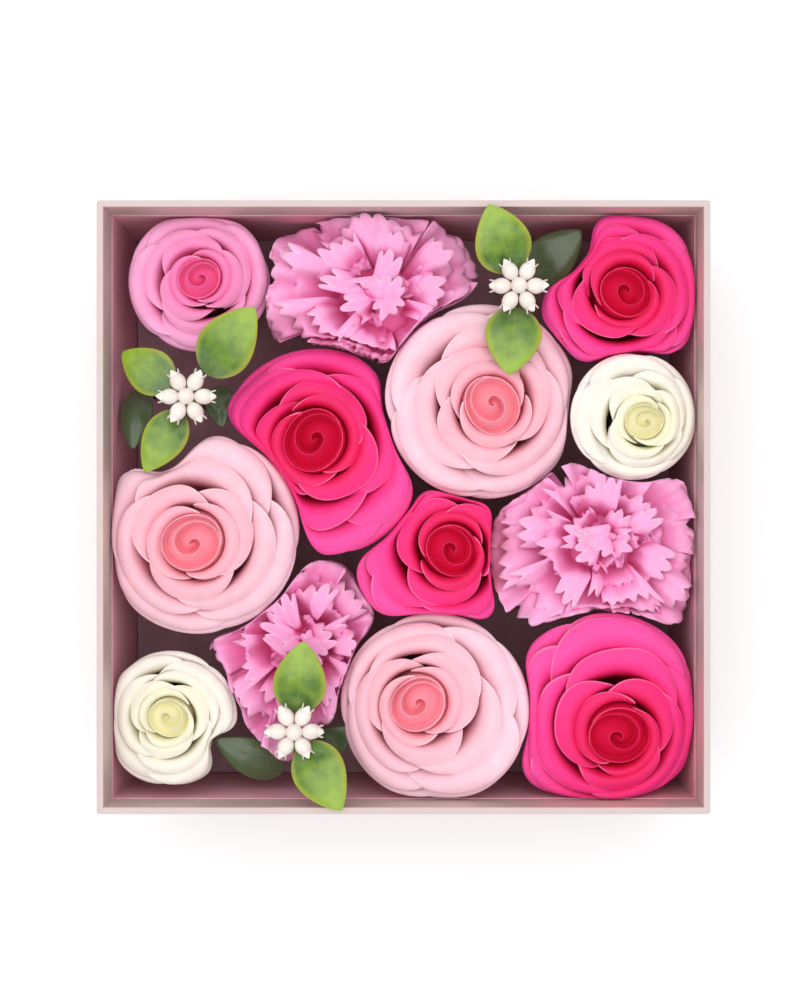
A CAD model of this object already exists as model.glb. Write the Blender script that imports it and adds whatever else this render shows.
# %% [markdown]
# # A gift box of soap flowers
# The real object is a square tray of greyboard wrapped in pearl paper. Ten roses and three
# carnations of pressed soap stand in it on short pegs, with three leafy sprigs and a few dark
# leaves between them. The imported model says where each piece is, and this lesson gives each
# piece its real surface: thin curled petals, toothed petals, veined leaves and paper.

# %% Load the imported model
import math
import random

import bpy
import numpy as np
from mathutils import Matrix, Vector
from mathutils.bvhtree import BVHTree


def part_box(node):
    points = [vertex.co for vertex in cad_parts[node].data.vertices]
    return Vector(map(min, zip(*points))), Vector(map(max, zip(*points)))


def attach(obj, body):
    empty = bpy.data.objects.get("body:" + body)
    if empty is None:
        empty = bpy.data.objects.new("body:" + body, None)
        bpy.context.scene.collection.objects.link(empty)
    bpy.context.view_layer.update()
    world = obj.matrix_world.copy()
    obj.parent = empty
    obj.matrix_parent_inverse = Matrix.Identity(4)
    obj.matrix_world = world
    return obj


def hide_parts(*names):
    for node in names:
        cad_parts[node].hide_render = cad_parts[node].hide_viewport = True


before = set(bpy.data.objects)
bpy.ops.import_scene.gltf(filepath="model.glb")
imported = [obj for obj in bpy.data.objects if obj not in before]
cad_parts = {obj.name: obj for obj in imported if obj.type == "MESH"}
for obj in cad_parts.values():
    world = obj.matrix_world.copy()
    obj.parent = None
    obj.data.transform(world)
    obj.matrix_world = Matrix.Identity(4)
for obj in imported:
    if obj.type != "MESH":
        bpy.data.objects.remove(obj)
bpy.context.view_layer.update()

MM = 0.001
rim_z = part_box("outer_wrap")[1].z
half_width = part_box("outer_wrap")[1].x
foam_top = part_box("foam_pad")[1].z
print("nodes:", len(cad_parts), "rim at", round(rim_z / MM, 1), "mm")

# %% [markdown]
# ## Camera and light
# The box is looked at from straight above, so the camera keeps its own rest direction, which is
# down. A product like this is lit by a large soft box overhead with white all round, which leaves
# only soft shade between the petals.

# %% Camera
CAMERA_ABOVE_RIM = 407 * MM
CAMERA_BACK = 2.1 * MM

lens = bpy.data.cameras.new("camera")
lens.sensor_fit = "VERTICAL"
lens.sensor_height = 36
lens.lens = 50
camera = bpy.data.objects.new("camera", lens)
camera.location = (0, CAMERA_BACK, rim_z + CAMERA_ABOVE_RIM)
bpy.context.scene.collection.objects.link(camera)
bpy.context.scene.camera = camera
bpy.context.scene.view_settings.view_transform = "Standard"
print("camera at", [round(c, 3) for c in camera.location])

# %% Lights
world = bpy.data.worlds.new("studio")
bpy.context.scene.world = world
world.use_nodes = True
world.node_tree.nodes["Background"].inputs["Color"].default_value = (1, 1, 1, 1)
world.node_tree.nodes["Background"].inputs["Strength"].default_value = 0.80


def soft_box(name, place, aim, size, power):
    """A square area light that points at aim."""
    data = bpy.data.lights.new(name, "AREA")
    data.size = size
    data.energy = power
    lamp = bpy.data.objects.new(name, data)
    lamp.location = place
    lamp.rotation_euler = (Vector(aim) - Vector(place)).to_track_quat("-Z", "Y").to_euler()
    bpy.context.scene.collection.objects.link(lamp)


soft_box("overhead", (-0.2, 0.3, 2.4), (0, 0, 0), 2.6, 30)
print("lights ready")

# %% [markdown]
# ## Materials
# A finish is built from what the real one is. Colours are written as sRGB hex, which one function
# turns into the linear numbers that the shader needs, and a second function adds a node with its
# settings and links.

# %% Helpers for materials
# Sockets of a Mix node set to colours: the factor, the two colours and the result
FACTOR, COLOUR_A, COLOUR_B, MIXED = 0, 6, 7, 2


def linear(hex_colour):
    """The linear colour of an sRGB hex value."""
    parts = [int(hex_colour[i:i + 2], 16) / 255 for i in (1, 3, 5)]
    return [p / 12.92 if p <= 0.04045 else ((p + 0.055) / 1.055) ** 2.4 for p in parts] + [1]


def add(tree, kind, inputs=None, **settings):
    """Adds a node, sets its settings, and links or sets its inputs."""
    made = tree.nodes.new(kind)
    for name, value in settings.items():
        setattr(made, name, value)
    for socket, value in (inputs or {}).items():
        if isinstance(value, bpy.types.NodeSocket):
            tree.links.new(value, made.inputs[socket])
        else:
            made.inputs[socket].default_value = value
    return made


def new_material(name, **sockets):
    """A Principled material with these constants, its node tree and its shader."""
    material = bpy.data.materials.new(name)
    material.use_nodes = True
    shader = material.node_tree.nodes["Principled BSDF"]
    for socket, value in sockets.items():
        shader.inputs[socket.replace("_", " ")].default_value = value
    return material, material.node_tree, shader


def dress(obj, material):
    """Gives a piece this one material."""
    obj.data.materials.clear()
    obj.data.materials.append(material)


# %% Papers, board and foam
def fibred(name, colour, dark, fibre, bump, **sockets):
    """Pulp paper or board: short fibres in two tones, and a bump as deep as they stand."""
    material, tree, shader = new_material(name, **sockets)
    place = add(tree, "ShaderNodeTexCoord").outputs["Object"]
    cloud = add(tree, "ShaderNodeTexNoise", {"Vector": place, "Scale": 1 / (9 * MM), "Detail": 3.0})
    speck = add(tree, "ShaderNodeTexNoise", {"Vector": place, "Scale": 1 / fibre, "Detail": 4.0,
                                             "Roughness": 0.65})
    both = add(tree, "ShaderNodeMath", {0: cloud.outputs["Fac"], 1: speck.outputs["Fac"]})
    tone = add(tree, "ShaderNodeMapRange", {"Value": both.outputs["Value"], "From Min": 0.75,
                                            "From Max": 1.25})
    mix = add(tree, "ShaderNodeMix", {FACTOR: tone.outputs["Result"], COLOUR_A: linear(dark),
                                      COLOUR_B: linear(colour)}, data_type="RGBA")
    raised = add(tree, "ShaderNodeBump", {"Height": speck.outputs["Fac"], "Distance": bump,
                                          "Strength": 0.6})
    tree.links.new(mix.outputs[MIXED], shader.inputs["Base Color"])
    tree.links.new(raised.outputs["Normal"], shader.inputs["Normal"])
    return material


# Pearl coated paper, calendered: a smooth ivory skin with a soft silky sheen
pearl_paper = fibred("pearl_coated_paper", "#D5C2BE", "#D1BDB8", 0.35 * MM, 0.02 * MM,
                     Roughness=0.42, Coat_Weight=0.15, Coat_Roughness=0.3)
# Uncoated wood-free paper: flat white with visible pulp
plain_paper = fibred("uncoated_white_paper", "#E9E4E1", "#DFD8D4", 0.4 * MM, 0.04 * MM, Roughness=0.85)
# Greyboard, pressed from waste paper: grey-brown, flecked
greyboard = fibred("greyboard", "#A9A39A", "#8F887E", 0.6 * MM, 0.06 * MM, Roughness=0.9)
# Kraft tape: brown and slightly shiny with its gum
kraft = fibred("kraft_tape", "#B38D5F", "#9C774B", 0.5 * MM, 0.03 * MM, Roughness=0.6)
# Closed-cell polyethylene foam, cut: rose grey, with cells a little under a millimetre wide
cell_foam = fibred("cut_polyethylene_foam", "#B08C95", "#9A7880", 0.9 * MM, 0.25 * MM, Roughness=0.8)
# Lining paper, dyed a pale rose: flat, with visible pulp
lining_paper = fibred("rose_lining_paper", "#F6BCCA", "#ECAEBE", 0.4 * MM, 0.04 * MM, Roughness=0.85)
# Moulded polyethylene, green all through, with the satin skin of its mould
green_plastic = fibred("moulded_green_polyethylene", "#7E9A3C", "#5F7F2C", 0.8 * MM, 0.03 * MM,
                       Roughness=0.45)
print("paper, board, foam and green plastic ready")

# %% [markdown]
# Pressed soap is matt, waxy and a little see-through. It is dyed deeper towards the heart of the
# flower, and the cut edge of a petal is paler than its face. Each petal mesh carries a "tone"
# attribute that runs from 0 at the heart to 1 at the outermost rim, and a UV map that runs from
# the root of the petal to its edge.

# %% Soap petals
def soap(name, core, inner, middle, outer, edge, edge_from=0.97, deep=0.35):
    """Pressed soap in four tones from the heart out, with a pale cut edge."""
    material, tree, shader = new_material(name, Roughness=0.55, IOR=1.45, Subsurface_Weight=0.12,
                                          Subsurface_Scale=1.5 * MM, Specular_IOR_Level=0.3)
    tone = add(tree, "ShaderNodeAttribute", attribute_name="tone").outputs["Fac"]
    uv = add(tree, "ShaderNodeUVMap").outputs["UV"]
    along = add(tree, "ShaderNodeSeparateXYZ", {"Vector": uv}).outputs["Y"]
    # Deeper dye low on each petal, where its face turns in, than on its rolled edge
    lip = add(tree, "ShaderNodeMapRange", {"Value": along, "From Min": 0.5, "From Max": 0.9,
                                           "To Min": deep, "To Max": 1.0},
              interpolation_type="SMOOTHSTEP")
    depth = add(tree, "ShaderNodeMath", {0: tone, 1: lip.outputs["Result"]}, operation="MULTIPLY")
    ramp = add(tree, "ShaderNodeValToRGB", {"Fac": depth.outputs["Value"]})
    stops = [(0.0, core), (0.3, inner), (0.62, middle), (0.95, outer)]
    ramp.color_ramp.elements.new(0.3)
    ramp.color_ramp.elements.new(0.62)
    for stop, (position, colour) in zip(ramp.color_ramp.elements, stops):
        stop.position = position
        stop.color = linear(colour)
    rim = add(tree, "ShaderNodeMapRange", {"Value": along, "From Min": edge_from, "From Max": 0.99,
                                           "To Max": 0.7})
    edged = add(tree, "ShaderNodeMix", {FACTOR: rim.outputs["Result"], COLOUR_A: ramp.outputs["Color"],
                                        COLOUR_B: linear(edge)}, data_type="RGBA")
    # Uneven dye in patches of about 5 mm, and press grain of about a third of a millimetre
    place = add(tree, "ShaderNodeTexCoord").outputs["Object"]
    dye = add(tree, "ShaderNodeTexNoise", {"Vector": place, "Scale": 1 / (5 * MM), "Detail": 2.0})
    patchy = add(tree, "ShaderNodeMapRange", {"Value": dye.outputs["Fac"], "From Min": 0.3,
                                              "From Max": 0.7, "To Min": 0.94, "To Max": 1.03})
    tinted = add(tree, "ShaderNodeHueSaturation", {"Value": patchy.outputs["Result"],
                                                   "Color": edged.outputs[MIXED]})
    grain = add(tree, "ShaderNodeTexNoise", {"Vector": place, "Scale": 1 / (0.3 * MM), "Detail": 3.0})
    raised = add(tree, "ShaderNodeBump", {"Height": grain.outputs["Fac"], "Distance": 0.04 * MM,
                                          "Strength": 0.5})
    tree.links.new(tinted.outputs["Color"], shader.inputs["Base Color"])
    tree.links.new(raised.outputs["Normal"], shader.inputs["Normal"])
    return material


SOAPS = {
    "magenta": soap("magenta_pressed_soap", "#D00A3A", "#E81858", "#FB3488", "#FF50A4", "#FF86B8"),
    "blush": soap("blush_pressed_soap", "#F894A4", "#FBB0BE", "#FCC2D0", "#FCD0DE", "#FEE6EE",
                  deep=0.4),
    "pink": soap("rose_pink_pressed_soap", "#EE5A92", "#F87CB4", "#FE9CCC", "#FFB0DA", "#FFCCE6"),
    "white": soap("ivory_pressed_soap", "#F2EDBC", "#F6F0D0", "#F9F0E2", "#FAF0E7", "#FDF9F2",
                  deep=0.45),
    "carnation": soap("orchid_pressed_soap", "#F2589A", "#FB7CBA", "#FF98CE", "#FFAAD8", "#FFC8E6",
                      edge_from=0.9, deep=0.55),
}
print("soaps:", ", ".join(SOAPS))

# %% [markdown]
# Moulded leaves are glossy and lime green, with a yellow-green edge, a paler midrib and a dusty
# white bloom near the stem. The dark leaves deep in the box are the same plastic in another dye.

# %% Leaves and berries
def leaf_plastic(name, base, middle, edge, bloom, bloom_reach):
    """Moulded leaf: three greens from the stem to the edge, a midrib, side veins and a bloom."""
    material, tree, shader = new_material(name, Roughness=0.26, IOR=1.5, Specular_IOR_Level=0.6)
    uv = add(tree, "ShaderNodeSeparateXYZ", {"Vector": add(tree, "ShaderNodeUVMap").outputs["UV"]})
    across = add(tree, "ShaderNodeMath", {0: uv.outputs["X"], 1: 0.5}, operation="SUBTRACT")
    off_rib = add(tree, "ShaderNodeMath", {0: across.outputs["Value"]}, operation="ABSOLUTE")
    place = add(tree, "ShaderNodeTexCoord").outputs["Object"]
    cloud = add(tree, "ShaderNodeTexNoise", {"Vector": place, "Scale": 1 / (4 * MM), "Detail": 4.0})
    # Darker at the stem, lighter towards the tip, in uneven patches
    patch = add(tree, "ShaderNodeMath", {0: uv.outputs["Y"], 1: cloud.outputs["Fac"]})
    pale = add(tree, "ShaderNodeMapRange", {"Value": patch.outputs["Value"], "From Min": 0.6,
                                            "From Max": 1.4})
    greens = add(tree, "ShaderNodeMix", {FACTOR: pale.outputs["Result"], COLOUR_A: linear(base),
                                         COLOUR_B: linear(middle)}, data_type="RGBA")
    to_edge = add(tree, "ShaderNodeMapRange", {"Value": off_rib.outputs["Value"], "From Min": 0.36,
                                               "From Max": 0.5})
    edged = add(tree, "ShaderNodeMix", {FACTOR: to_edge.outputs["Result"], COLOUR_B: linear(edge),
                                        COLOUR_A: greens.outputs[MIXED]}, data_type="RGBA")
    rib = add(tree, "ShaderNodeMapRange", {"Value": off_rib.outputs["Value"], "From Min": 0.0,
                                           "From Max": 0.03, "To Min": 0.15, "To Max": 0.0})
    ribbed = add(tree, "ShaderNodeMix", {FACTOR: rib.outputs["Result"], COLOUR_B: linear(edge),
                                         COLOUR_A: edged.outputs[MIXED]}, data_type="RGBA")
    dust = add(tree, "ShaderNodeTexNoise", {"Vector": place, "Scale": 1 / (0.5 * MM), "Detail": 5.0})
    near = add(tree, "ShaderNodeMapRange", {"Value": uv.outputs["Y"], "From Min": 0.0,
                                            "From Max": bloom_reach, "To Min": 0.8, "To Max": 0.08})
    dusty = add(tree, "ShaderNodeMath", {0: dust.outputs["Fac"], 1: near.outputs["Result"]},
                operation="MULTIPLY")
    white = add(tree, "ShaderNodeMix", {FACTOR: dusty.outputs["Value"], COLOUR_B: linear(bloom),
                                        COLOUR_A: ribbed.outputs[MIXED]}, data_type="RGBA")
    raised = add(tree, "ShaderNodeBump", {"Height": cloud.outputs["Fac"], "Distance": 0.4 * MM,
                                          "Strength": 0.5})
    tree.links.new(white.outputs[MIXED], shader.inputs["Base Color"])
    tree.links.new(raised.outputs["Normal"], shader.inputs["Normal"])
    return material


lime_leaf = leaf_plastic("moulded_lime_leaf", "#2F600A", "#8FB022", "#A9AE2C", "#A9B684", 0.3)
dark_leaf = leaf_plastic("moulded_dark_leaf", "#223A14", "#3A5426", "#465E2E", "#7C8868", 1.6)
# Moulded white plastic berries: ivory white, satin
berry_white = fibred("moulded_white_berry", "#F6F0E9", "#EADFD6", 1.2 * MM, 0.03 * MM, Roughness=0.4)
print("leaf and berry finishes ready")

# %% [markdown]
# ## Where a head may reach
# The flowers press against each other and against the walls, so a head isn't round. Rays shot at
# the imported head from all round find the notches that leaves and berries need. Where two heads
# meet, the higher one stays round and the lower one gives way to it. A petal keeps its shape near
# the middle, and where it would reach past the head's outline it is pressed flat against it.

# %% Heads
# The directions in which a head's reach is measured, two degrees apart
RAYS = 180
# How many directions each way an outline is softened and rounded over
SOFT = 2
ROUND = 5
# How late and how sharply a petal gives way to the outline
PRESS = 14
# Room between a petal and the outline, between two heads, and round the foam pad
PRESS_GAP = 0.1 * MM
HEAD_GAP = 0.3 * MM
FOAM_GAP = 0.4 * MM
# How far short of its neighbours a packed head must stop to count as cut back for a leaf
NOTCH = 1 * MM
# How far the top of a leaning head drops, per metre of lean and metre of reach
LEAN_TILT = 20
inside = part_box("foam_pad")[1].x + FOAM_GAP
# Each flower's tier, and how far it has opened past its packed size. Where two heads meet, one
# that is a whole tier higher lies over the other, and heads on nearer tiers press each other flat.
LAYERS = {
    "pink_rose_back_left": (3, 1.05), "carnation_back": (2, 1.10),
    "magenta_rose_back_right": (2, 1.06), "blush_rose_upper": (4, 0.99),
    "white_rose_right": (5, 0.94), "magenta_rose_left": (3, 1.07),
    "magenta_rose_centre": (2, 1.08), "carnation_right": (3, 1.06),
    "blush_rose_left": (4, 1.03), "carnation_front_left": (1, 1.12),
    "white_rose_front_left": (3, 1.0), "blush_rose_front": (5, 0.99),
    "magenta_rose_front_right": (4, 1.03),
}
turns = np.linspace(0, math.tau, RAYS, endpoint=False)
outwards = np.stack([np.cos(turns), np.sin(turns)])


class Head:
    """One flower's head as packed: its foot, its top, its lean and its reach each way."""

    def __init__(self, flower):
        low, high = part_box(flower + "_calyx")
        self.middle = np.array([(low.x + high.x) / 2, (low.y + high.y) / 2])
        heart_low, heart_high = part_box(flower + ("_tuft" if flower.startswith("carnation") else "_bud"))
        heart_middle = np.array([(heart_low.x + heart_high.x) / 2, (heart_low.y + heart_high.y) / 2])
        self.lean = heart_middle - self.middle
        self.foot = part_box(flower + "_petals")[0].z
        self.top = heart_high.z
        self.tier, opened = LAYERS[flower]
        self.packed = self.measure(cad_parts[flower + "_petals"].data)
        self.packed_radius = self.packed.max()
        self.radius = self.packed_radius * opened

    def measure(self, mesh):
        """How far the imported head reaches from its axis, in RAYS directions."""
        solid = BVHTree.FromPolygons([v.co for v in mesh.vertices], [p.vertices for p in mesh.polygons])
        reach = np.zeros(RAYS)
        # Rays come in from well outside the head, at four levels of its widest part
        start = 60 * MM
        for i in range(RAYS):
            out = Vector((*outwards[:, i], 0))
            for share in (0.5, 0.6, 0.68, 0.76):
                level = self.foot + share * (self.top - self.foot)
                origin = Vector((*self.middle, level)) + out * start
                hit = solid.ray_cast(origin, -out)[3]
                if hit is not None:
                    reach[i] = max(reach[i], start - hit)
        return reach

    def settle(self, others):
        """Sets how far the head reaches among the walls and the other heads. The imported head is
        pressed flat everywhere, so where it falls short of that, it is cut back for a leaf."""
        pressed = np.full(RAYS, self.packed_radius)
        layered = np.full(RAYS, self.radius)
        for way, at in zip(outwards, self.middle):
            room = (inside - HEAD_GAP - at * np.sign(way)) / np.maximum(np.abs(way), 0.01)
            pressed = np.minimum(pressed, room)
            layered = np.minimum(layered, room)
        for other in others:
            step = other.middle - self.middle
            span = np.hypot(*step)
            if other is self or span > self.radius + other.radius + HEAD_GAP:
                continue
            ahead = step @ outwards
            face = (span ** 2 + self.radius ** 2 - other.radius ** 2) / (2 * span) - HEAD_GAP / 2
            flat = np.where(ahead > 0.01 * span, face * span / np.maximum(ahead, 0.01 * span), np.inf)
            pressed = np.minimum(pressed, flat)
            if abs(other.tier - self.tier) < 1:
                layered = np.minimum(layered, flat)
            elif other.tier > self.tier:
                depth = (other.radius + HEAD_GAP) ** 2 - (span ** 2 - ahead ** 2)
                meets = (ahead > 0) & (depth > 0)
                edge = ahead - np.sqrt(np.maximum(depth, 0))
                layered = np.where(meets, np.minimum(layered, edge), layered)
        notched = self.packed < pressed - NOTCH
        reach = np.where(notched, np.minimum(self.packed, layered), layered)
        # A petal edge is softer than a cut face: the smallest reach nearby, and no sharp corner
        smallest = np.min([np.roll(reach, i) for i in range(-SOFT, SOFT + 1)], axis=0)
        rounded = np.mean([np.roll(smallest, i) for i in range(-ROUND, ROUND + 1)], axis=0)
        lowest = np.minimum(smallest, rounded)
        self.reach = np.mean([np.roll(lowest, i) for i in range(-SOFT, SOFT + 1)], axis=0)

    def reach_at(self, angle):
        """How far the head reaches in these directions."""
        steps = np.mod(angle, math.tau) / math.tau * RAYS
        return np.interp(steps, np.arange(RAYS + 1), np.append(self.reach, self.reach[0]))

    def place(self, r, angle, z):
        """Points of a free round head, moved to where the pressed and leaning head has them."""
        share = r / self.radius
        full = r / self.reach_at(angle)
        r = r / (1 + full ** PRESS) ** (1 / PRESS)
        away = np.clip(1 - share ** 2, 0, 1)
        x = r * np.cos(angle) + self.lean[0] * away
        y = r * np.sin(angle) + self.lean[1] * away
        lean = np.hypot(*self.lean)
        if lean > 0:
            z = z - LEAN_TILT * (x * self.lean[0] + y * self.lean[1]) * np.clip(share, 0, 1)
        turn = np.arctan2(y, x)
        r = np.hypot(x, y)
        r = np.minimum(r, self.reach_at(turn) - PRESS_GAP)
        return np.stack([self.middle[0] + r * np.cos(turn), self.middle[1] + r * np.sin(turn), z], -1)


FLOWERS = [name[:-len("_calyx")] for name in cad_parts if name.endswith("_calyx")]
heads = {flower: Head(flower) for flower in FLOWERS}
for flower, head in heads.items():
    head.settle(heads.values())
    print(flower, "reach", round(head.reach.min() / MM, 1), "to", round(head.radius / MM, 1), "mm")

# %% [markdown]
# ## Sheets
# A petal or a leaf is a thin sheet. Each one starts as a plane grid, whose UV map runs across and
# along the petal. A function curls the grid, all the sheets of a piece are joined, and then
# Solidify gives them their thickness and Subdivision Surface their roundness.

# %% Grids, copies and thickness
def blank(columns, rows):
    """A flat grid from -1 to 1 each way, to be curled into petals."""
    bpy.ops.object.select_all(action="DESELECT")
    bpy.ops.mesh.primitive_grid_add(x_subdivisions=columns, y_subdivisions=rows, size=2)
    made = bpy.context.object
    made.name = f"blank_{columns}_{rows}"
    return made


def spots(obj):
    """A mesh's points as rows of x, y and z."""
    points = np.zeros(len(obj.data.vertices) * 3)
    obj.data.vertices.foreach_get("co", points)
    return points.reshape(-1, 3)


def curled(grid, shape):
    """A copy of a grid with its own mesh, with each point put where shape(u, v) says.
    u runs across from -1 to 1 and v from the root at 0 to the edge at 1."""
    made = bpy.data.objects.new("sheet", grid.data.copy())
    bpy.context.scene.collection.objects.link(made)
    flat = spots(made)
    made.data.vertices.foreach_set("co", shape(flat[:, 0], (flat[:, 1] + 1) / 2).ravel())
    return made


def joined(name, parts):
    """Joins the parts into one piece of that name."""
    bpy.ops.object.select_all(action="DESELECT")
    for part in parts:
        part.select_set(True)
    bpy.context.view_layer.objects.active = parts[0]
    if len(parts) > 1:
        bpy.ops.object.join()
    made = bpy.context.object
    made.name = made.data.name = name
    return made


def finish_sheet(obj, thickness, levels):
    """Gives sheets their thickness and rounds them."""
    bpy.context.view_layer.objects.active = obj
    solid = obj.modifiers.new("thickness", "SOLIDIFY")
    solid.thickness = thickness
    solid.offset = 0
    bpy.ops.object.modifier_apply(modifier=solid.name)
    if levels:
        smooth = obj.modifiers.new("round", "SUBSURF")
        smooth.levels = smooth.render_levels = levels
        bpy.ops.object.modifier_apply(modifier=smooth.name)
    obj.data.shade_smooth()


def give_tone(obj, tone):
    """Stores one number from 0 to 1 at each point, for the soap to read."""
    layer = obj.data.attributes.new("tone", "FLOAT", "POINT")
    layer.data.foreach_set("value", np.clip(tone, 0, 1).astype(np.float32))


def through(points, t):
    """The smooth path through these pairs, at shares t of its length in steps."""
    points = np.array(points, float)
    padded = np.vstack([2 * points[0] - points[1], points, 2 * points[-1] - points[-2]])
    steps = np.clip(t, 0, 1) * (len(points) - 1)
    first = np.minimum(steps.astype(int), len(points) - 2)
    f = (steps - first)[:, None]
    a, b, c, d = (padded[first + i] for i in range(4))
    path = b + 0.5 * f * (c - a + f * (2 * a - 5 * b + 4 * c - d + f * (3 * (b - c) + d - a)))
    return path[:, 0], path[:, 1]


petal_grid = blank(18, 14)
print("grids ready")

# %% [markdown]
# ## Roses
# A soap rose is built like a real one: broad outer petals whose edges roll outwards, a middle
# ring of long crescents, an inner ring that hugs the bud, and the bud itself, one petal wound
# round another that runs in to the middle as a spiral. Profiles are given as shares of the
# head's radius, outwards from the axis and upwards from the top of the bud.

# %% One petal
# The share of a petal's length from which its lip rolls, waves and comes to a point
LIP_FROM = 0.6


def rose_petal(head, at, half, profile, twist, rng):
    """A petal round the direction at, half as wide as half radians each way. One end stands
    further out than the other, which tucks under the next petal."""
    size = head.radius
    swell, lift = rng.uniform(0.96, 1.03), rng.uniform(-0.03, 0.015)
    # Where the blunt point of the rim stands, and where its gentle wave begins
    point, wave = rng.uniform(-0.35, 0.35), rng.uniform(0, math.tau)

    def shape(u, v):
        angle = at + half * u
        ends = np.abs(u) ** 3
        # The rolled lip narrows to nothing at both ends of the petal
        r, z = through(profile, v * (1 - 0.36 * ends))
        r = r * (swell + twist * u)
        z = z + lift - 0.05 * ends * v
        rim = np.clip((v - LIP_FROM) / (1 - LIP_FROM), 0, 1) ** 2
        peak = np.clip(1 - np.abs(u - point) / 0.5, 0, 1) ** 1.5
        r = r * (1 + rim * (0.035 * peak + 0.012 * np.sin(6 * u + wave)))
        z = z + rim * (0.018 * np.sin(4 * u + 2 * wave) - 0.03 * peak)
        return head.place(r * size, angle, head.top + z * size)
    return shape


# %% The wound bud
# How wide the bud is where it meets the petals round it, as a share of the head's radius
BUD_RIM = 0.38
# How deep the groove between two wound petals is, as a share of the head's radius
GROOVE = 0.18
# How far the edge of the wound petals stands from the middle, after this many turns
EDGE_TURNS = (0.0, 0.15, 0.4, 0.8, 1.0, 1.25, 1.5, 1.75, 2.0, 2.3, 2.6, 3.0)
EDGE_SHARES = (0.262, 0.285, 0.295, 0.278, 0.256, 0.225, 0.170, 0.110, 0.085, 0.045, 0.018, 0.0)


def wound_bud(head, start, hand):
    """A closed bud whose top is one petal wound in to the middle: a thin crest along the edge of
    the petal, and between two crests a face that falls outwards into a groove."""
    bpy.ops.object.select_all(action="DESELECT")
    bpy.ops.mesh.primitive_uv_sphere_add(segments=112, ring_count=120, radius=1)
    bud = bpy.context.object
    points = spots(bud)
    turn = np.arctan2(points[:, 1], points[:, 0])
    slope = np.arccos(np.clip(points[:, 2], -1, 1)) / (math.pi / 2)
    upper = slope <= 1
    r = BUD_RIM * np.where(upper, slope, np.sin(slope * math.pi / 2))
    way = np.mod((turn - start) * hand / math.tau, 1)
    oval = 1 + 0.07 * np.cos(2 * (turn - start) - 0.8)
    edges = [np.interp(way + k, EDGE_TURNS, EDGE_SHARES) * oval for k in range(4)]
    outside = np.clip((r - edges[0]) / (BUD_RIM - edges[0]), 0, 1)
    z = -0.12 * np.minimum(r, edges[0]) - 0.62 * outside ** 1.1
    groove = np.zeros(len(r))
    crest = np.exp(-((r - edges[0]) / 0.022) ** 2)
    for outer, inner in zip(edges, edges[1:]):
        between = (r < outer) & (r >= inner)
        across = np.clip((r - inner) / np.maximum(outer - inner, 0.01), 0, 1)
        under = np.clip((outer - r) / 0.028, 0, 1)
        groove = np.where(between, across ** 0.8 * under * under * (3 - 2 * under), groove)
        crest = np.maximum(crest, np.exp(-((r - inner) / 0.018) ** 2) * (inner > 0.01))
    z = z - GROOVE * groove
    low = -0.12 * edges[0] - 0.62
    z = np.where(upper, z, low + 0.25 * np.cos(slope * math.pi / 2))
    placed = head.place(r * head.radius, turn, head.top + (z - 0.01) * head.radius)
    bud.data.vertices.foreach_set("co", placed.ravel())
    # Down the petal for the soap's dye: deep in the groove, and the cut edge along the crest
    along = 0.82 - 0.3 * groove + 0.165 * crest
    corner_points = np.zeros(len(bud.data.loops), dtype=np.int32)
    bud.data.loops.foreach_get("vertex_index", corner_points)
    uv = np.stack([np.full(len(corner_points), 0.5), along[corner_points]], -1)
    bud.data.uv_layers.active.data.foreach_set("uv", uv.ravel())
    bud.data.shade_smooth()
    return bud


# %% Build the roses
# How thick a rose petal is, as a share of the head's radius
PETAL_SHEET = 0.03


def rose_rings(head):
    """Each ring's petal count, half width in radians, twist and profile, from the outside in."""
    foot = (head.foot - head.top) / head.radius
    guard = [(0.28, foot), (0.60, foot + 0.15), (0.76, -0.78), (0.80, -0.48), (0.87, -0.27),
             (1.00, -0.22), (1.22, -0.28)]
    outer = [(0.26, foot + 0.05), (0.50, foot + 0.2), (0.64, -0.70), (0.66, -0.40), (0.72, -0.19),
             (0.86, -0.12), (1.02, -0.20)]
    middle = [(0.24, foot + 0.1), (0.40, foot + 0.3), (0.52, -0.60), (0.54, -0.32), (0.59, -0.12),
              (0.68, -0.06), (0.79, -0.13)]
    inner = [(0.22, foot + 0.2), (0.33, foot + 0.4), (0.38, -0.50), (0.395, -0.26), (0.43, -0.07),
             (0.50, -0.02), (0.61, -0.08)]
    hug = [(0.20, foot + 0.25), (0.27, foot + 0.45), (0.30, -0.46), (0.31, -0.22), (0.33, -0.06),
           (0.375, -0.01), (0.44, -0.05)]
    return ((5, 0.95, 0.05, guard), (4, 1.12, 0.08, outer), (3, 1.40, 0.09, middle),
            (3, 1.30, 0.09, inner), (2, 1.75, 0.10, hug))


def make_rose(flower, colour, turn, hand, seed):
    head = heads[flower]
    rng = random.Random(seed)
    sheets = []
    for count, half, twist, profile in rose_rings(head):
        turn += rng.uniform(0.4, 0.8) * math.tau / count
        for i in range(count):
            at = turn + math.tau * i / count + rng.uniform(-0.12, 0.12)
            shape = rose_petal(head, at, half * rng.uniform(0.92, 1.1), profile, hand * twist, rng)
            sheets.append(curled(petal_grid, shape))
    petals = joined(flower + "_petal_layers", sheets)
    finish_sheet(petals, PETAL_SHEET * head.radius, 1)
    heart = joined(flower + "_rolled_bud", [wound_bud(head, turn, hand)])
    for piece, node in ((petals, "_petals"), (heart, "_bud")):
        points = spots(piece)
        middle_now = head.middle + head.lean
        off = np.hypot(points[:, 0] - middle_now[0], points[:, 1] - middle_now[1]) / head.radius
        give_tone(piece, off)
        dress(piece, SOAPS[colour])
        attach(piece, flower)
        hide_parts(flower + node)
    return petals, heart


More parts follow.
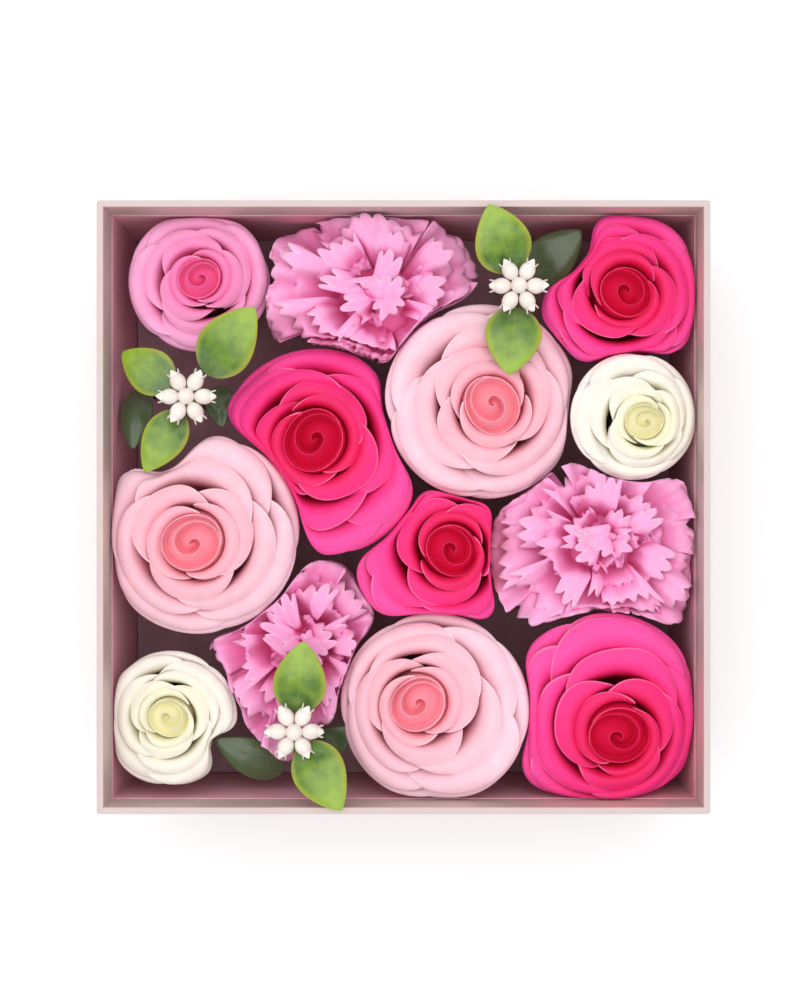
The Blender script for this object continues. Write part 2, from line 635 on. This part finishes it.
# Each rose's soap, the direction its petals start from, the hand of its spiral and its seed
ROSES = [
    ("pink_rose_back_left", "pink", 0.4, 1, 1),
    ("magenta_rose_back_right", "magenta", 1.4, -1, 2),
    ("blush_rose_upper", "blush", 2.0, 1, 3),
    ("white_rose_right", "white", 0.2, 1, 4),
    ("magenta_rose_left", "magenta", 0.9, 1, 5),
    ("magenta_rose_centre", "magenta", 2.6, -1, 6),
    ("blush_rose_left", "blush", 1.1, 1, 7),
    ("white_rose_front_left", "white", 2.2, -1, 8),
    ("blush_rose_front", "blush", 0.7, 1, 9),
    ("magenta_rose_front_right", "magenta", 3.0, -1, 10),
]
for flower, colour, turn, hand, seed in ROSES:
    petals, heart = make_rose(flower, colour, turn, hand, seed)
    print(flower, len(petals.data.polygons), "faces,", len(heart.data.polygons), "in the bud")

# %% [markdown]
# ## Carnations
# A soap carnation is a ball of fan-shaped petals with deep saw teeth, pressed from thin sheet and
# folded like cloth. They all spring from one root, lying flat at the bottom and standing up in
# the middle.

# %% One toothed fan
TEETH = 5
TOOTH = 4.2 * MM
# How thick a carnation petal is
FAN_SHEET = 0.45 * MM
fan_grid = blank(6 * TEETH, 12)


def fan(head, heading, tip, fall, wide, rng, back=0.0):
    """A toothed petal that rises from its root, bends outwards and ends tip away from it, fall
    below the top. Its folds grow towards its edge. Its root stands back behind the axis."""
    size = head.radius
    foot = (head.foot - head.top) / size
    path = [(0.05, foot + 0.1), (0.10 + 0.10 * tip, foot * 0.62), (0.10 + 0.28 * tip, foot * 0.34),
            (0.06 + 0.52 * tip, -0.10 - 0.8 * fall), (0.03 + 0.76 * tip, 0.05 - fall), (tip, -fall)]
    # Half the petal's width as an angle at its edge, and a middle petal's teeth are as long as a
    # tip of half the radius would have
    spread = wide * MM / (tip * size)
    broad = max(tip, 0.5)
    folds, phase = rng.uniform(2.2, 4.0), rng.uniform(0, math.tau)
    depth, cup, roll = rng.uniform(0.06, 0.12), rng.uniform(-0.12, 0.12), rng.uniform(-0.2, 0.2)

    def shape(u, v):
        # The edge is cut back between the teeth
        saw = np.abs(np.mod((u + 1) / 2 * TEETH, 1) * 2 - 1)
        notch = TOOTH / size / broad ** 0.5 * (1 - saw) * np.clip((v - 0.72) / 0.28, 0, 1)
        v_cut = v * (1 - 0.9 * notch)
        r, z = through(path, v_cut)
        # The way square to the sheet, in which the folds push it
        r_next, z_next = through(path, np.minimum(v_cut + 0.02, 1.0))
        r_last, z_last = through(path, np.maximum(v_cut - 0.02, 0.0))
        run = np.hypot(r_next - r_last, z_next - z_last)
        out, up = -(z_next - z_last) / run, (r_next - r_last) / run
        grow = v ** 1.6
        push = grow * (depth * np.sin(folds * u + phase) + 0.3 * depth * np.sin(2.7 * folds * u)
                       + cup * (u ** 2 - 0.3) + roll * u)
        r, z = r + push * out, z + push * up
        # Round its own root, then moved back behind the axis of the head
        angle = spread * u * (1 - 0.12 * grow * np.abs(u))
        ahead, across = r * np.cos(angle) - back, r * np.sin(angle)
        z = np.minimum(z, 0.0)
        return head.place(np.hypot(ahead, across) * size, heading + np.arctan2(across, ahead),
                          head.top + z * size)
    return shape


# %% Build the carnations
def tuft_core(head):
    """The closed heart that the middle petals stand round and fold over."""
    bpy.ops.object.select_all(action="DESELECT")
    bpy.ops.mesh.primitive_uv_sphere_add(segments=32, ring_count=16, radius=1)
    core = bpy.context.object
    points = spots(core)
    # A flat ball, as shares of the head's radius, well below the top
    r = np.hypot(points[:, 0], points[:, 1]) * 0.36
    z = points[:, 2] * 0.22 - 0.44
    placed = head.place(r * head.radius, np.arctan2(points[:, 1], points[:, 0]),
                        head.top + z * head.radius)
    core.data.vertices.foreach_set("co", placed.ravel())
    core.data.shade_smooth()
    return core


def make_carnation(flower, seed):
    head = heads[flower]
    rng = random.Random(seed)
    # Each tier's petal count, how far its petals reach and fall, and their half width in millimetres
    tiers = ((10, 1.22, 0.34, 13), (10, 1.05, 0.22, 13), (8, 0.82, 0.12, 12), (6, 0.58, 0.06, 11))
    groups = {"_ruffled_petals": [], "_middle_tuft": []}
    for count, tip, fall, wide in tiers:
        first = rng.uniform(0, math.tau)
        for i in range(count):
            heading = first + math.tau * i / count + rng.uniform(-0.18, 0.18)
            shape = fan(head, heading, tip * rng.uniform(0.88, 1.04), fall + rng.uniform(-0.06, 0.06),
                        wide * rng.uniform(0.85, 1.1), rng)
            groups["_ruffled_petals"].append(curled(fan_grid, shape))
    # The last petals rise behind the heart and fold over it
    for i, (tip, fall, back) in enumerate(((0.50, 0.10, 0.05), (0.48, 0.08, 0.10), (0.50, 0.11, 0.08),
                                           (0.44, 0.07, 0.14), (0.42, 0.05, 0.18), (0.42, 0.06, 0.24),
                                           (0.36, 0.04, 0.24), (0.36, 0.03, 0.28))):
        heading = math.tau * i * 0.38 + rng.uniform(-0.4, 0.4)
        groups["_middle_tuft"].append(curled(fan_grid, fan(head, heading, tip, fall, 9, rng, back)))
    for (suffix, sheets), node in zip(groups.items(), ("_petals", "_tuft")):
        piece = joined(flower + suffix, sheets)
        finish_sheet(piece, FAN_SHEET, 0)
        if node == "_tuft":
            piece = joined(flower + suffix, [piece, tuft_core(head)])
        # Deep dye at the root, and the palest at the tips
        points = spots(piece)
        root = np.array([*head.middle, head.foot])
        give_tone(piece, (np.linalg.norm(points - root, axis=1) / head.radius - 0.4) / 0.7)
        dress(piece, SOAPS["carnation"])
        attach(piece, flower)
        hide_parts(flower + node)
        print(piece.name, len(piece.data.polygons), "faces")


for seed, flower in enumerate(("carnation_back", "carnation_right", "carnation_front_left")):
    make_carnation(flower, 20 + seed)

# %% [markdown]
# ## Leaves
# A moulded leaf is egg-shaped with a pointed tip, folded a little along its midrib and arched
# along its length. Its heading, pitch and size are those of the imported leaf.

# %% Leaf shape
leaf_grid = blank(12, 18)
LEAF_SHEET = 0.9 * MM
# How far the leaves spring below the top of the stem, and above the foam for the loose ones
LEAF_DOWN = 3 * MM
LOOSE_RISE = 27 * MM


def leaf_shape(root, heading, pitch, start, length, width):
    """An egg-shaped leaf along its heading, from start millimetres off the root."""
    heading, pitch = math.radians(heading), math.radians(pitch)

    def shape(u, v):
        # Widest nearer the stem, and pointed at the tip
        half = width * MM / 2 * np.sin(math.pi * np.clip(v, 0, 1) ** 0.78) ** 0.75
        side = half * u
        run = start * MM + length * MM * v
        # Its sides rise off the midrib, and the midrib arches
        fold = 0.16 * np.abs(side) + 0.10 * length * MM * np.sin(math.pi * v) * (1 - 0.9 * u ** 2)
        fold = fold - 0.8 * MM
        ahead = run * math.cos(pitch) - fold * math.sin(pitch)
        up = run * math.sin(pitch) + fold * math.cos(pitch)
        return np.stack([root[0] + ahead * math.cos(heading) - side * math.sin(heading),
                         root[1] + ahead * math.sin(heading) + side * math.cos(heading),
                         root[2] + up], -1)
    return shape


# Each leaf's heading, pitch, distance from the hub, length and width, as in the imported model
SPRIGS = {
    "sprig_left": [(52, 12, 8.5, 25, 17), (146, -4, 5.5, 19, 14), (240, 6, 4.5, 21, 13)],
    "sprig_back": [(111, 18, 4.5, 21.5, 17), (264, 9, 5.5, 21, 17)],
    "sprig_front": [(84, 10, 4.5, 22.5, 16), (-58, 17, 4.5, 23, 16)],
}
# Each loose leaf's foot as shares of the inside half width, heading, pitch, length and width
LOOSE = [
    ((0.44, 0.80), 42, 18, 23, 15),
    ((-0.93, 0.41), -92, 24, 21, 10),
    ((-0.65, 0.42), -84, 18, 14, 9),
    ((-0.43, -0.93), 152, 14, 24, 12),
    ((-0.29, -0.86), 40, 16, 13, 10),
]
for sprig, leaves in SPRIGS.items():
    low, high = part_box(sprig + "_berries")
    hub = ((low.x + high.x) / 2, (low.y + high.y) / 2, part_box(sprig + "_stem")[1].z - LEAF_DOWN)
    sheets = [curled(leaf_grid, leaf_shape(hub, *leaf)) for leaf in leaves]
    piece = joined(sprig + "_veined_leaves", sheets)
    finish_sheet(piece, LEAF_SHEET, 1)
    dress(piece, lime_leaf)
    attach(piece, sprig)
    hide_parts(sprig + "_leaves")
    print(piece.name, len(leaves), "leaves")

sheets = []
for (x, y), heading, pitch, length, width in LOOSE:
    foot = (x * inside, y * inside, foam_top + LOOSE_RISE)
    sheets.append(curled(leaf_grid, leaf_shape(foot, heading, pitch, -1, length, width)))
piece = joined("loose_veined_leaves", sheets)
finish_sheet(piece, LEAF_SHEET, 1)
dress(piece, dark_leaf)
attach(piece, "box")
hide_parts("loose_leaves")

# %% [markdown]
# ## Berries
# Each cluster is one moulding: a bead in the middle and a ring of six buds on short stalks. A bud
# is a round bead that opens into a small cup with pointed tips.

# %% Clusters
BUDS = 6
CUP_TIPS = 4
CUP_SHEET = 0.4 * MM
BEAD_RADIUS = 2.4 * MM
cup_grid = blank(24, 10)


def bud_cup(hub, angle, droop):
    """A round bead that narrows outwards and opens into four pointed tips."""
    def shape(u, v):
        turn = math.pi * u
        # Distance from the hub and radius, in millimetres
        run, r = through([(1.2, 0.45), (2.3, 0.6), (3.2, 1.6), (4.9, 2.25), (6.5, 1.85), (7.3, 1.35),
                          (9.0, 1.9)], v)
        tips = np.abs(np.mod((u + 1) / 2 * CUP_TIPS, 1) * 2 - 1)
        run = run - 2.0 * (1 - tips) * np.clip((v - 0.75) / 0.25, 0, 1)
        side, lift = r * np.cos(turn), r * np.sin(turn)
        ahead = run * math.cos(droop) + lift * math.sin(droop)
        up = lift * math.cos(droop) - run * math.sin(droop)
        return np.stack([hub[0] + MM * (ahead * math.cos(angle) - side * math.sin(angle)),
                         hub[1] + MM * (ahead * math.sin(angle) + side * math.cos(angle)),
                         hub[2] + MM * up], -1)
    return shape


for sprig in SPRIGS:
    low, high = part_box(sprig + "_berries")
    hub = ((low.x + high.x) / 2, (low.y + high.y) / 2, low.z + 2.0 * MM)
    sheets = [curled(cup_grid, bud_cup(hub, math.tau * i / BUDS, 0.1)) for i in range(BUDS)]
    piece = joined(sprig + "_bead_cluster", sheets)
    finish_sheet(piece, CUP_SHEET, 1)
    bpy.ops.object.select_all(action="DESELECT")
    bpy.ops.mesh.primitive_uv_sphere_add(segments=24, ring_count=16, radius=BEAD_RADIUS,
                                         location=(hub[0], hub[1], hub[2] + 1.0 * MM))
    bpy.ops.object.transform_apply(location=True)
    bead = bpy.context.object
    bead.data.shade_smooth()
    piece = joined(sprig + "_bead_cluster", [piece, bead])
    dress(piece, berry_white)
    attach(piece, sprig)
    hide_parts(sprig + "_berries")
    print(piece.name, len(piece.data.polygons), "faces")

# %% [markdown]
# ## The box
# The wrap is one sheet of paper glued round the boards, over the rim and under the base, so it is
# folded from a cuboid and given the thickness of paper. The boards, the lining and the foam keep
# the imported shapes, which are right as they are, and take their finishes.

# %% The wrap
bpy.ops.object.select_all(action="DESELECT")
low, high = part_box("outer_wrap")
CORNER = 1.2 * MM
RIM = 2.0 * MM
TURN_IN = 14 * MM
TURN_UNDER = 15 * MM
PAPER = 0.2 * MM
# The round of the paper where it folds over the rim
RIM_ROUND = 0.3 * MM
bpy.ops.mesh.primitive_cube_add(size=1, location=(0, 0, 0))
wrap = bpy.context.object
wrap.name = wrap.data.name = "folded_paper_wrap"
bpy.ops.object.mode_set(mode="EDIT")
bpy.ops.transform.resize(value=high - low)
bpy.ops.transform.translate(value=(low + high) / 2)


def pick(test, kind="EDGE"):
    """Selects the edges or faces whose points together pass the test."""
    bpy.ops.mesh.select_mode(type=kind)
    bpy.ops.mesh.select_all(action="DESELECT")
    bpy.ops.object.mode_set(mode="OBJECT")
    mesh = bpy.context.object.data
    for part in (mesh.edges if kind == "EDGE" else mesh.polygons):
        part.select = test([mesh.vertices[i].co for i in part.vertices])
    bpy.ops.object.mode_set(mode="EDIT")


def upright(points):
    return abs(points[0].z - points[1].z) > 60 * MM


def along_rim(points):
    """Whether an edge runs along the rim, outside or inside, and not across it."""
    level = all(p.z > rim_z - 0.01 * MM for p in points)
    outside = all(max(abs(p.x), abs(p.y)) > half_width - CORNER for p in points)
    inside = all(max(abs(p.x), abs(p.y)) < half_width - 1.5 * MM for p in points)
    return level and (outside or inside)


def square_up():
    """Gathers the points at each rounded corner of a new loop into one true corner."""
    bpy.ops.object.mode_set(mode="OBJECT")
    for point in wrap.data.vertices:
        if point.select:
            point.co.x = math.copysign(half_width - RIM, point.co.x)
            point.co.y = math.copysign(half_width - RIM, point.co.y)
    bpy.ops.object.mode_set(mode="EDIT")
    bpy.ops.mesh.remove_doubles(threshold=0.01 * MM)


pick(upright)
bpy.ops.mesh.bevel(offset=CORNER, segments=5)
pick(lambda points: all(p.z > rim_z - MM for p in points), "FACE")
bpy.ops.mesh.inset(thickness=RIM)
square_up()
bpy.ops.mesh.extrude_region_move(TRANSFORM_OT_translate={"value": (0, 0, -TURN_IN)})
bpy.ops.mesh.delete(type="FACE")
pick(lambda points: all(p.z < MM for p in points), "FACE")
bpy.ops.mesh.inset(thickness=RIM)
square_up()
bpy.ops.mesh.inset(thickness=TURN_UNDER - RIM)
bpy.ops.mesh.delete(type="FACE")
bpy.ops.object.mode_set(mode="OBJECT")
print("wrap:", len(wrap.data.polygons), "faces")

# %% Round the rim and give the paper its thickness
bpy.ops.object.mode_set(mode="EDIT")
pick(along_rim)
bpy.ops.mesh.bevel(offset=RIM_ROUND, segments=3)
bpy.ops.object.mode_set(mode="OBJECT")
solid = wrap.modifiers.new("paper", "SOLIDIFY")
solid.thickness = PAPER
solid.offset = -1
bpy.ops.object.modifier_apply(modifier=solid.name)
bpy.ops.object.shade_smooth_by_angle(angle=math.radians(40))
# The small rounds at the rim would bend the shading of the flat walls beside them
even = wrap.modifiers.new("even_shading", "WEIGHTED_NORMAL")
even.keep_sharp = True
bpy.ops.object.modifier_apply(modifier=even.name)
dress(wrap, pearl_paper)
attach(wrap, "box")
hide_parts("outer_wrap")
print("wrap:", len(wrap.data.polygons), "faces")

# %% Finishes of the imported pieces
for name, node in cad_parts.items():
    if "board" in name:
        dress(node, greyboard)
    elif name == "outer_wrap":
        continue
    elif name == "lining":
        dress(node, lining_paper)
    elif name == "base_sheet":
        dress(node, plain_paper)
    elif name == "corner_tapes":
        dress(node, kraft)
    elif name == "foam_pad":
        dress(node, cell_foam)
    elif name.endswith(("_calyx", "_stem")):
        dress(node, green_plastic)

# %% Floor
bpy.ops.object.select_all(action="DESELECT")
bpy.ops.mesh.primitive_plane_add(size=40, location=(0, 0, -0.05 * MM))
floor = bpy.context.object
floor.name = "floor"
floor_finish, _, floor_shader = new_material("matt_white_sweep", Roughness=0.9)
floor_shader.inputs["Base Color"].default_value = linear("#FBFAFB")
dress(floor, floor_finish)

# %% Clear the blanks and finish
for grid in (petal_grid, fan_grid, leaf_grid, cup_grid):
    bpy.data.objects.remove(grid)
